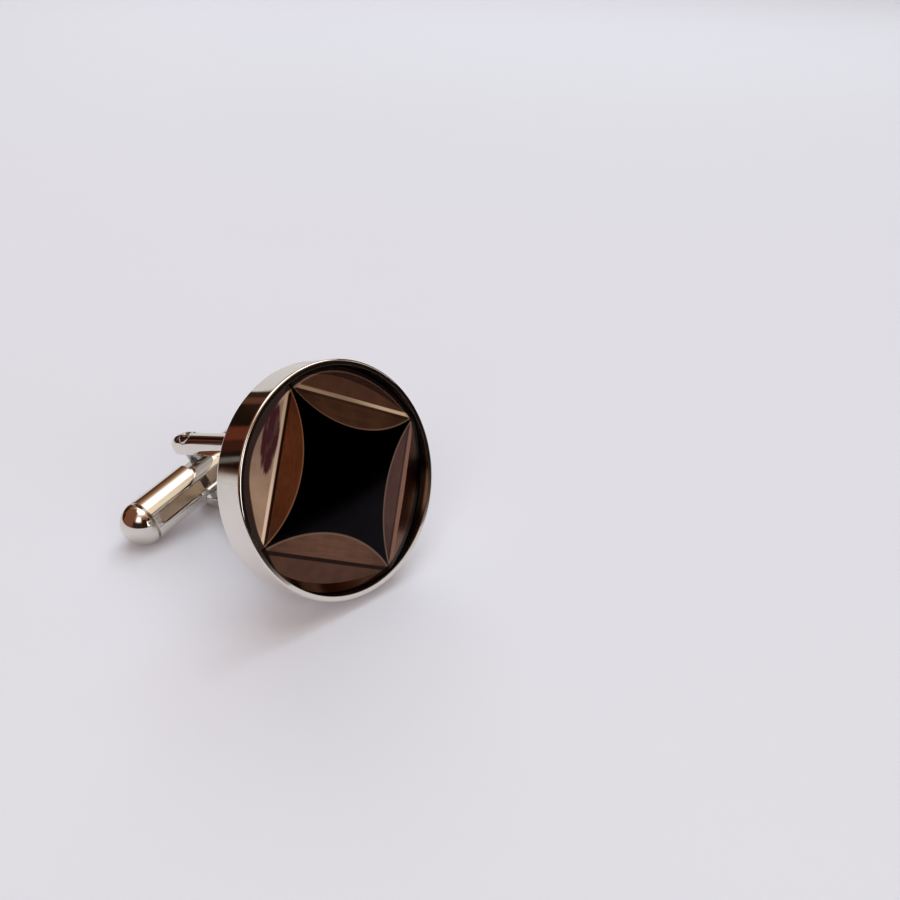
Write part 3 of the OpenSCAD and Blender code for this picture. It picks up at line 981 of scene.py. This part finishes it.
class CUFF_OT_yoke(bpy.types.Operator):
    """Makes the yoke: a round foot and two half-round legs with drawn-in tips"""
    bl_idname = "cufflink.yoke"
    bl_label = "Yoke"

    def execute(self, context):
        """Lofts the bar that both legs come from, saws the gap and joins the foot."""
        yoke, cup, pivot = (Millimetres(g) for g in ("cuff_yoke", "cuff_cup", "cuff_pivot"))
        legs = Legs()
        foot_top = yoke.foot_thickness - cup.recess
        saddle = foot_top + yoke.web + legs.half_gap
        tip = REACH / MM + yoke.overhang
        stations = self.stations(yoke, legs.radius, foot_top, saddle, tip)
        made = loft("yoke_frame", [[(x, y, z) for x, z in legs.outline(r, 40)] for r, y in stations])
        gap = [(tip + OVERRUN, -legs.half_gap), (tip + OVERRUN, legs.half_gap)]
        gap += arc((saddle, 0.0), legs.half_gap, 90, 270, 64)
        joined(made, prism("gap", gap, -2 * legs.radius, 2 * legs.radius, SIDEWAYS))
        pin_r, head_r = pivot.pin / 2 + pivot.fit, pivot.head / 2 + pivot.fit
        section = legs.pin_section(pin_r, head_r, legs.crown + OVERRUN)
        joined(made, lathe("bore", section, AT_PIVOT, segments=96))
        rounded(made, yoke.edge)
        foot_r, edge = yoke.foot / 2, 2 * yoke.edge
        section = [(0.0, foot_top)] + arc((foot_r - edge, foot_top - edge), edge, 90, 0, 8)
        section += arc((foot_r - yoke.edge, yoke.edge - cup.recess), yoke.edge, 0, -90, 4)
        section += [(0.0, -cup.recess)]
        joined(made, lathe("foot", section, TOWARDS_BAR), operation="UNION")
        finished(made, POST, "bright_plating", plating("plated_yoke"), "yoke")
        return {"FINISHED"}

    def stations(self, yoke, leg_r, foot_top, saddle, tip):
        """The radius of the legs and its place along them: flare, straight, taper and nose."""
        before_pivot, before_taper, nose_end = 2.0, 0.2, 86
        run = math.sqrt((yoke.taper - yoke.nose) ** 2 - (yoke.taper - leg_r) ** 2)
        turn = math.degrees(math.asin(run / (yoke.taper - yoke.nose)))
        nose_y = tip - yoke.nose
        taper_y = nose_y - run
        pivot_y = REACH / MM
        places = [(leg_r + yoke.flare, foot_top - yoke.flare)]
        places += arc((leg_r + yoke.flare, foot_top + yoke.flare), yoke.flare, -90, -180, 10)
        places += [(leg_r, y) for y in (saddle, pivot_y - before_pivot, pivot_y, taper_y - before_taper)]
        places += arc((leg_r - yoke.taper, taper_y), yoke.taper, 0, turn, 24)
        return places + arc((0.0, nose_y), yoke.nose, turn, nose_end, 12)[1:]


class CUFF_OT_solder(bpy.types.Operator):
    """Makes the ring of solder round the yoke's foot"""
    bl_idname = "cufflink.solder"
    bl_label = "Solder"

    def execute(self, context):
        """Turns the fillet that fills the gap round the foot and climbs it a little."""
        cup, fit = Millimetres("cuff_cup"), Millimetres("cuff_pivot").fit
        foot_r = Millimetres("cuff_yoke").foot / 2
        outer = foot_r + cup.solder
        section = [(foot_r + fit, -cup.recess), (outer - fit, -cup.recess), (outer - fit, 0.0)]
        section += arc((outer, cup.solder_climb), cup.solder_climb, -90, -160, 8)
        section += [(foot_r + fit, cup.solder_climb)]
        made = lathe("solder_fillet", section, TOWARDS_BAR)
        finish = metal("solder_bead", "solder", rough=0.22, smudge=0.2, wave=4.0,
                       grain=1.0, grain_size=0.1, stain=0.2)
        finished(made, POST, "solder", finish, "solder_ring")
        return {"FINISHED"}


class CUFF_OT_pin(bpy.types.Operator):
    """Makes the pin, peened over at both legs and punched"""
    bl_idname = "cufflink.pin"
    bl_label = "Pin"

    def execute(self, context):
        """Turns the pin, rounds its heads to the legs and stamps them."""
        pivot, legs = Millimetres("cuff_pivot"), Legs()
        section = legs.pin_section(pivot.pin / 2, pivot.head / 2, legs.head_top + OVERRUN)
        made = lathe("pin", section, AT_PIVOT, segments=128)
        outline = legs.outline(legs.radius + pivot.head_proud, 96)
        crowns = prism("crowns", outline, -pivot.head, pivot.head, AT_PIVOT @ TOWARDS_FACE)
        joined(made, crowns, operation="INTERSECT")
        ball = (pivot.punch ** 2 + pivot.punch_depth ** 2) / (2 * pivot.punch_depth)
        section = arc((0.0, 0.0), ball, -90, 90, 96)
        section[0], section[-1] = (0.0, -ball), (0.0, ball)
        for side in (-1, 1):
            place = Matrix.Translation((0.0, 0.0, side * (legs.head_top - pivot.punch_depth + ball)))
            joined(made, lathe("punch", section, AT_PIVOT @ place, segments=96))
        rounded(made, pivot.edge, steps=4)
        finish = metal("peened_pin", "pin", rough=0.06, smudge=0.1, wave=0.5,
                       grain=0.2, grain_size=0.08)
        finished(made, POST, "pin_steel", finish, "pivot_pin")
        return {"FINISHED"}


class CUFF_OT_washers(bpy.types.Operator):
    """Makes the two washers between the legs and the bar"""
    bl_idname = "cufflink.washers"
    bl_label = "Washers"

    def execute(self, context):
        """Turns a washer for either side."""
        toggle, pivot = Millimetres("cuff_toggle"), Millimetres("cuff_pivot")
        edge, bore, radius = pivot.edge, pivot.pin / 2 + pivot.fit, pivot.washer / 2
        low, high = toggle.neck_height / 2 + edge, Legs().half_gap
        section = [(bore, low), (radius - edge, low), (radius, low + edge),
                   (radius, high - edge), (radius - edge, high), (bore, high)]
        finish = metal("turned_washer", "washer", rough=0.16, smudge=0.12, wave=0.3,
                       grain=0.2, grain_size=0.04)
        for name, side in (("upper", 1), ("lower", -1)):
            turn = Matrix.Scale(side, 4, (0, 0, 1))
            made = lathe("washer_" + name, section, AT_PIVOT @ turn, segments=96)
            finished(made, POST, "washer_steel", finish, name + "_washer")
        return {"FINISHED"}


class CUFF_OT_bar(bpy.types.Operator):
    """Makes the swivelling bar with its neck, slot and pocket"""
    bl_idname = "cufflink.bar"
    bl_label = "Bar"

    def execute(self, context):
        """Turns the bar, mills its neck and slot and opens the pocket and the bore."""
        toggle, pivot, bar = Millimetres("cuff_toggle"), Millimetres("cuff_pivot"), Bar()
        edge = toggle.edge
        section = [(0.0, -bar.joint_x)] + arc((bar.radius - edge, edge - bar.joint_x), edge, -90, 0, 4)
        section += arc((bar.radius - edge, bar.joint_x - edge), edge, 0, 90, 4) + [(0.0, bar.joint_x)]
        made = lathe("bar", section, AT_PIVOT @ ALONG_TOGGLE, segments=240)
        joined(made, self.milling(toggle, bar))
        half, tall = pivot.pocket / 2, pivot.pocket_height / 2
        outline = arc((0.0, 0.0), half, 0, 180, 48) + [(-half, -PAST_BAR), (half, -PAST_BAR)]
        joined(made, prism("pocket", outline, -tall, tall, AT_PIVOT))
        joined(made, rod("bore", pivot.pin / 2 + pivot.play, -PAST_BAR, PAST_BAR, AT_PIVOT))
        rounded(made, edge)
        finished(made, TOGGLE, "bright_plating", plating("plated_bar"), "toggle_body")
        return {"FINISHED"}

    def milling(self, toggle, bar):
        """What is milled away: the neck down to its core and flats, and the spring's slot."""
        half_neck, flat_z, shoulder = toggle.neck / 2, toggle.neck_height / 2, toggle.shoulder
        core_end, far = bar.joint_x + 2 * OVERRUN, PAST_BAR + OVERRUN
        corner = arc((half_neck + shoulder, bar.half_slot + shoulder), shoulder, 180, 270, 20)
        quarter = [(half_neck, PAST_BAR), *corner]
        outline = mirrored(quarter + [(x, -z) for x, z in reversed(quarter)])
        milled = prism("mill", outline, 0.0, PAST_BAR, AT_PIVOT @ TOWARDS_FACE)
        neck = block("neck", (-half_neck, -far, -far), (half_neck, far, far), AT_PIVOT)
        joined(milled, neck, operation="UNION")
        core = rod("core", toggle.core / 2, -core_end, core_end, AT_PIVOT @ ALONG_TOGGLE, segments=240)
        joined(milled, core)
        outline = mirrored(arc((bar.slot_x, 0.0), bar.half_slot, 90, -90, 24))
        slot_end = bar.slot_y + 2 * OVERRUN
        slot = prism("slot", outline, bar.slot_y, slot_end, AT_PIVOT @ TOWARDS_FACE)
        joined(milled, slot, operation="UNION")
        for low, high in ((flat_z, far), (-far, -flat_z)):
            seat = block("seat", (-half_neck, -far, low), (half_neck, far, high), AT_PIVOT)
            joined(milled, seat, operation="UNION")
        return milled


class CUFF_OT_domes(bpy.types.Operator):
    """Makes the two domed ends of the bar"""
    bl_idname = "cufflink.domes"
    bl_label = "Domes"

    def execute(self, context):
        """Turns a dome for either end, with its spigot and the groove behind it."""
        toggle, bar = Millimetres("cuff_toggle"), Bar()
        edge, groove_r, spigot_r = toggle.edge, bar.radius - toggle.groove_depth, toggle.spigot / 2
        spigot_x = bar.joint_x - toggle.spigot_length
        section = [(0.0, spigot_x), (spigot_r, spigot_x), (spigot_r, bar.joint_x),
                   (groove_r, bar.joint_x), (groove_r, bar.dome_x)]
        section += arc((bar.radius - edge, bar.dome_x + edge), edge, -90, 0, 4)
        section += arc((0.0, bar.dome_x), bar.radius, 2, 88, 56) + [(0.0, bar.dome_x + bar.radius)]
        for name, side in (("right", 1), ("left", -1)):
            turn = Matrix.Scale(side, 4, (1, 0, 0)) @ ALONG_TOGGLE
            made = lathe("dome_" + name, section, AT_PIVOT @ turn, segments=240)
            finished(made, TOGGLE, "bright_plating", plating("plated_dome_" + name), name + "_dome")
        return {"FINISHED"}


class CUFF_OT_spring(bpy.types.Operator):
    """Makes the leaf spring in the bar's slot"""
    bl_idname = "cufflink.spring"
    bl_label = "Spring"

    def execute(self, context):
        """Draws the leaf with its raised middle and gives it its width."""
        toggle, bar, steps = Millimetres("cuff_toggle"), Bar(), 24
        ramp, middle, lift = toggle.spring_ramp, toggle.spring_middle, toggle.spring_lift
        lower = [(-(bar.slot_x + bar.half_slot - toggle.spring_gap), bar.slot_y)]
        for t in (i / steps for i in range(steps + 1)):
            rise = (lift - bar.slot_y) * t * t * (3 - 2 * t)
            lower.append((-(ramp + (middle - ramp) * t), bar.slot_y + rise))
        lower = mirrored(lower)
        outline = [(x, -y) for x, y in lower] + [(x, -y - toggle.spring) for x, y in reversed(lower)]
        half = toggle.spring_width / 2
        made = prism("leaf", outline, -half, half, AT_PIVOT)
        rounded(made, toggle.edge / 2, steps=2, angle=60.0)
        finish = metal("sprung_steel", "spring", rough=0.12, smudge=0.1, wave=0.3,
                       grain=0.2, grain_size=0.05)
        finished(made, TOGGLE, "spring_steel", finish, "leaf_spring")
        return {"FINISHED"}


class CUFF_OT_inside(bpy.types.Operator):
    """Gives the pieces that keep their plain form their finishes"""
    bl_idname = "cufflink.inside"
    bl_label = "Inside"

    def execute(self, context):
        """Assigns the finishes of foil, adhesive and cam."""
        finishes = {
            "mirror_foil": metal("mirror_foil", "foil", rough=0.08, smudge=0.1, wave=1.0),
            "adhesive_layer": adhesive(),
            "detent_cam": metal("cam_brass", "cam", rough=0.18, smudge=0.15, wave=0.5, grain=0.5),
        }
        for node, material in finishes.items():
            slots = frame["nodes"][node].data.materials
            slots.clear()
            slots.append(material)
        return {"FINISHED"}


class CUFF_OT_studio(bpy.types.Operator):
    """Sets up the table, the light and the camera"""
    bl_idname = "cufflink.studio"
    bl_label = "Studio"

    def execute(self, context):
        """Lays the table, lights it softly and places the camera."""
        studio = settings_of("cuff_studio")
        finish = self.table_finish(studio)
        self.disc("paper", studio.paper, 0.0, finish)
        self.disc("table", studio.floor, PAPER, finish).visible_glossy = False
        self.sky(context, studio)
        for settings in LAMPS:
            self.lamp(context, *settings)
        self.camera(context, studio)
        context.scene.view_settings.view_transform = "Standard"
        return {"FINISHED"}

    def table_finish(self, studio):
        """Pale matt card."""
        material, start = new_finish("table_top")
        colour = tuple(studio.floor_colour)
        shade = speckle(start, 20.0, detail=3.0).mixed(colour, scaled(colour, 0.985))
        coated(start, {"Base Color": shade, "Roughness": 0.6, "Specular IOR Level": 0.25})
        return material

    def disc(self, name, radius, drop, material):
        """A round pale sheet whose top lies a little below the table's height."""
        top = -drop / MM
        made = rod(name, radius / MM, top, top - SHEET_DEPTH, segments=128)
        made.data.transform(Matrix.Scale(MM, 4))
        made.data.materials.append(material)
        return made

    def sky(self, context, studio):
        """The soft surroundings that the plating mirrors: a dark room under a bright ceiling."""
        world = bpy.data.worlds.new("surroundings")
        world.use_nodes = True
        world.node_tree.nodes.clear()
        start = Wire(world.node_tree)
        direction = start.node("ShaderNodeTexCoord", output="Generated")
        height = start.maths("DEGREES", start.maths("ARCSINE", direction.along((0.0, 0.0, 1.0))))
        stops = [((angle + 90.0) / 180.0, colour) for angle, colour in ROOM]
        colour = start.node("ShaderNodeValToRGB", {"stops": stops}, {"Fac": (height + 90.0) / 180.0})
        for left, right, low, high, soft, paint in PATCHES:
            middle, half = math.radians((left + right) / 2), (right - left) / 2
            aside = direction.along((math.cos(middle), -math.sin(middle), 0.0))
            ahead = direction.along((math.sin(middle), math.cos(middle), 0.0))
            turn = start.maths("DEGREES", start.maths("ARCTAN2", aside, ahead))
            across = turn.within(half + soft / 2, soft)
            upwards = (height - (high + low) / 2).within((high - low + soft) / 2, soft)
            colour = (across * upwards).mixed(colour, paint)
        seen = start.node("ShaderNodeLightPath", output="Is Camera Ray")
        shader = start.node("ShaderNodeBackground", None,
                            {"Color": seen.mixed(colour, studio.backdrop), "Strength": 1.0})
        start.node("ShaderNodeOutputWorld", None, {"Surface": shader})
        context.scene.world = world

    def lamp(self, context, name, place, wide, tall, power, colour, mirrored_by_metal):
        """A soft rectangular lamp that points at the cufflink."""
        data = bpy.data.lights.new(name, "AREA")
        data.shape = "RECTANGLE"
        data.size, data.size_y = wide, tall
        data.energy = power
        data.color = colour
        lamp = bpy.data.objects.new(name, data)
        lamp.visible_glossy = mirrored_by_metal
        self.aim(context, lamp, Vector(place), -Vector(place))

    def camera(self, context, studio):
        """The camera, which looks along its bearing and down by its pitch."""
        level = math.cos(studio.pitch)
        view = Vector((math.sin(studio.bearing) * level, math.cos(studio.bearing) * level,
                       -math.sin(studio.pitch)))
        data = bpy.data.cameras.new("camera")
        data.lens = studio.lens
        data.sensor_width = 36.0
        data.clip_start, data.clip_end = 0.002, 10.0
        camera = bpy.data.objects.new("camera", data)
        self.aim(context, camera, STANCE.translation + Vector(studio.camera), view)
        context.scene.camera = camera

    def aim(self, context, obj, place, view):
        """Puts a lamp or the camera in its place and points it along a view."""
        obj.location = place
        obj.rotation_mode = "QUATERNION"
        obj.rotation_quaternion = view.to_track_quat("-Z", "Y")
        context.scene.collection.objects.link(obj)


MAKERS = (CUFF_OT_cup, CUFF_OT_stone, CUFF_OT_yoke, CUFF_OT_solder, CUFF_OT_pin, CUFF_OT_washers,
          CUFF_OT_bar, CUFF_OT_domes, CUFF_OT_spring, CUFF_OT_inside, CUFF_OT_studio)


class CUFF_PT_panel(bpy.types.Panel):
    """Lists the pieces and their sizes"""
    bl_idname = "CUFF_PT_panel"
    bl_label = "Cufflink"
    bl_space_type = "VIEW_3D"
    bl_region_type = "UI"
    bl_category = "Cufflink"

    def draw(self, context):
        """Draws a button for each operator and the sizes of each group."""
        for maker in MAKERS:
            self.layout.operator(maker.bl_idname)
        for name, group in GROUPS.items():
            box = self.layout.box()
            box.label(text=group.__doc__)
            for size in group.__annotations__:
                box.prop(getattr(context.scene, name), size)


CLASSES = (*GROUPS.values(), *MAKERS, CUFF_PT_panel)


def register():
    """Registers the classes and hangs the groups of sizes on the scene."""
    for cls in CLASSES:
        bpy.utils.register_class(cls)
    for name, group in GROUPS.items():
        setattr(bpy.types.Scene, name, PointerProperty(type=group))


def unregister():
    """Takes back what register did."""
    for name in GROUPS:
        delattr(bpy.types.Scene, name)
    for cls in reversed(CLASSES):
        bpy.utils.unregister_class(cls)


def main():
    """Builds everything."""
    register()
    bpy.ops.cufflink.cup()
    bpy.ops.cufflink.stone()
    bpy.ops.cufflink.yoke()
    bpy.ops.cufflink.solder()
    bpy.ops.cufflink.pin()
    bpy.ops.cufflink.washers()
    bpy.ops.cufflink.bar()
    bpy.ops.cufflink.domes()
    bpy.ops.cufflink.spring()
    bpy.ops.cufflink.inside()
    bpy.ops.cufflink.studio()
    bpy.context.view_layer.update()


if __name__ == "__main__":
    main()
